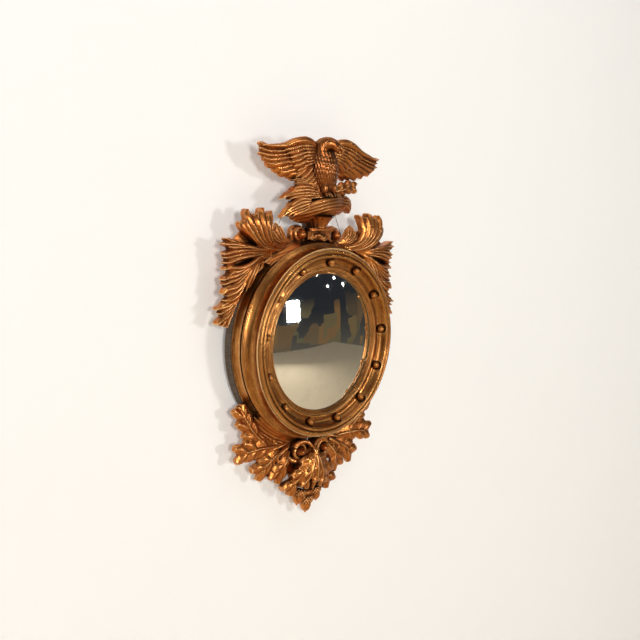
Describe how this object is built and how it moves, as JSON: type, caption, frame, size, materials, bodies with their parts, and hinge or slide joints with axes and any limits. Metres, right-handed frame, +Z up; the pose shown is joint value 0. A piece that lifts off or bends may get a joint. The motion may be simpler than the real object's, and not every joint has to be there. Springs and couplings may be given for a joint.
{
  "type": "girandole mirror",
  "caption": "Round convex wall mirror in a deep gilded frame with a ball moulding, carved acanthus crest, spread eagle and oak-leaf apron, hung by a wire.",
  "frame": {"origin": "centre of the round frame on its back plane, which is the face towards the wall", "axes": "+Z up, +Y into the wall, +X to the viewer's right; the mirror faces -Y"},
  "size_m": [0.5044, 0.0812, 0.7759],
  "materials": {
    "gilt_moulding": "antique gilt, bronzed, satin, rubbed on the edges",
    "gilt_ball": "antique gilt, burnished",
    "gilt_carving": "antique gilt over red-brown ground, dark in the recesses",
    "raw_wood": "raw, dark stained",
    "steel": "zinc plated, dull",
    "silvered_glass": "convex silvered glass, polished"
  },
  "bodies": {
    "root": {"side_moulding": "gilt_moulding", "ball_moulding": "gilt_moulding", "reeded_slip": "gilt_moulding", "gilt_balls": "gilt_ball", "crest_left": "gilt_carving", "crest_right": "gilt_carving", "crest_sprig_left": "gilt_carving", "crest_sprig_right": "gilt_carving", "volute_plinth": "gilt_carving", "volute_bosses": "gilt_carving", "urn_slab": "gilt_carving", "urn": "gilt_carving", "platform": "gilt_carving", "platform_sprig_left": "gilt_carving", "platform_sprig_right": "gilt_carving", "eagle_body": "gilt_carving", "eagle_head": "gilt_carving", "eagle_wing_left": "gilt_carving", "eagle_wing_right": "gilt_carving", "eagle_tail": "gilt_carving", "apron_left": "gilt_carving", "apron_right": "gilt_carving", "apron_drop": "gilt_carving", "apron_scroll_left": "gilt_carving", "apron_scroll_right": "gilt_carving", "apron_bosses": "gilt_carving", "acorns": "gilt_carving", "back_ring": "raw_wood", "back_board": "raw_wood", "glazing_blocks": "raw_wood", "crest_batten": "raw_wood", "apron_batten": "raw_wood", "crest_dowels": "raw_wood", "apron_dowels": "raw_wood", "eagle_dowel": "raw_wood", "back_board_screws": "steel", "batten_screws": "steel", "screw_eyes": "steel", "hanging_wire": "steel", "mirror_glass": "silvered_glass"}
  },
  "joints": []
}
